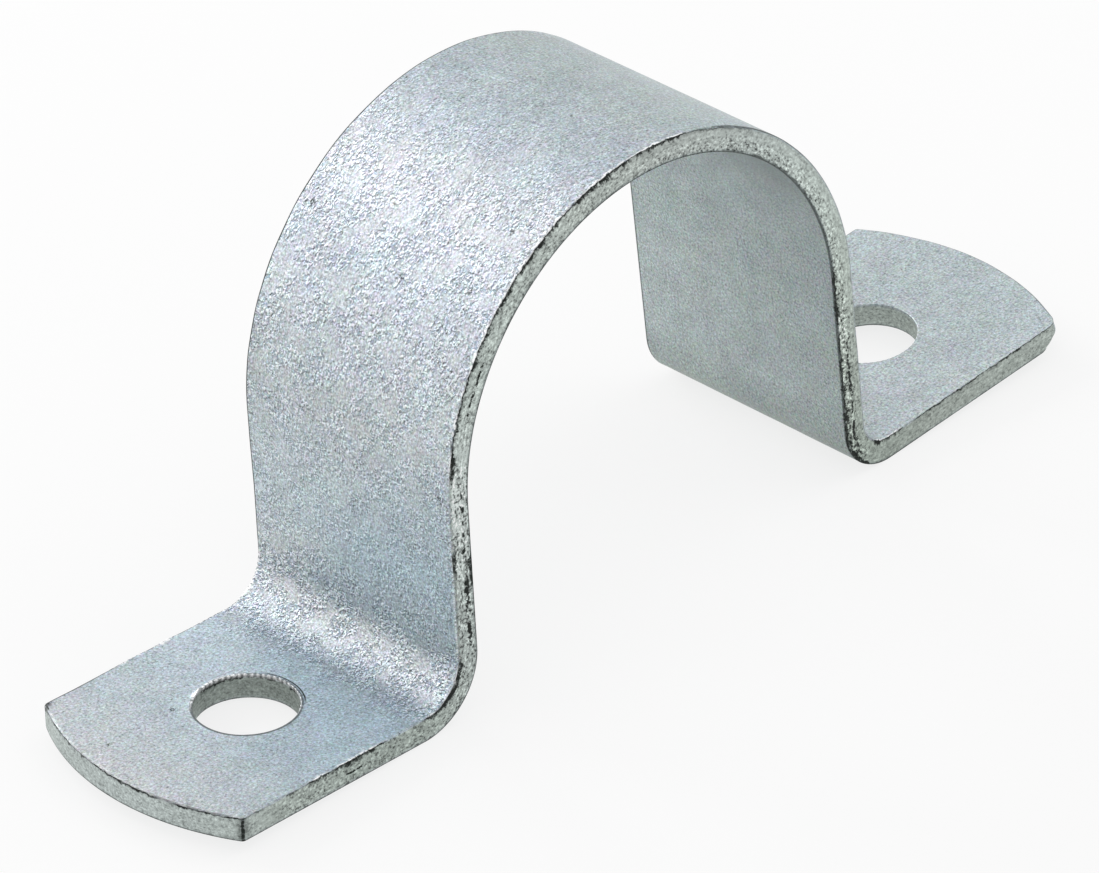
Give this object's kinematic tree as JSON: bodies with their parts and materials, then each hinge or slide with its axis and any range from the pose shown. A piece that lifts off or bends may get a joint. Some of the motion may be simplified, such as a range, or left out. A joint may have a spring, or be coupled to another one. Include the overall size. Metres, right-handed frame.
{
  "type": "conduit strap",
  "caption": "Conduit strap bent from one metal strip: a half-round saddle over the pipe and a flat foot with a screw hole and a rounded end on each side.",
  "frame": {"origin": "on the wall plane that the two folds stand on, straight below the pipe's axis and midway across the strap's width", "axes": "+X along the strap towards its right foot, +Y across the width along the pipe, +Z out from the wall towards the crown"},
  "size_m": [0.1072, 0.025, 0.0451],
  "materials": {
    "zinc_plate": "zinc-plated steel sheet, satin and finely pebbled, with rougher grey-green cut edges"
  },
  "bodies": {
    "root": {"strap": "zinc_plate"}
  },
  "joints": []
}
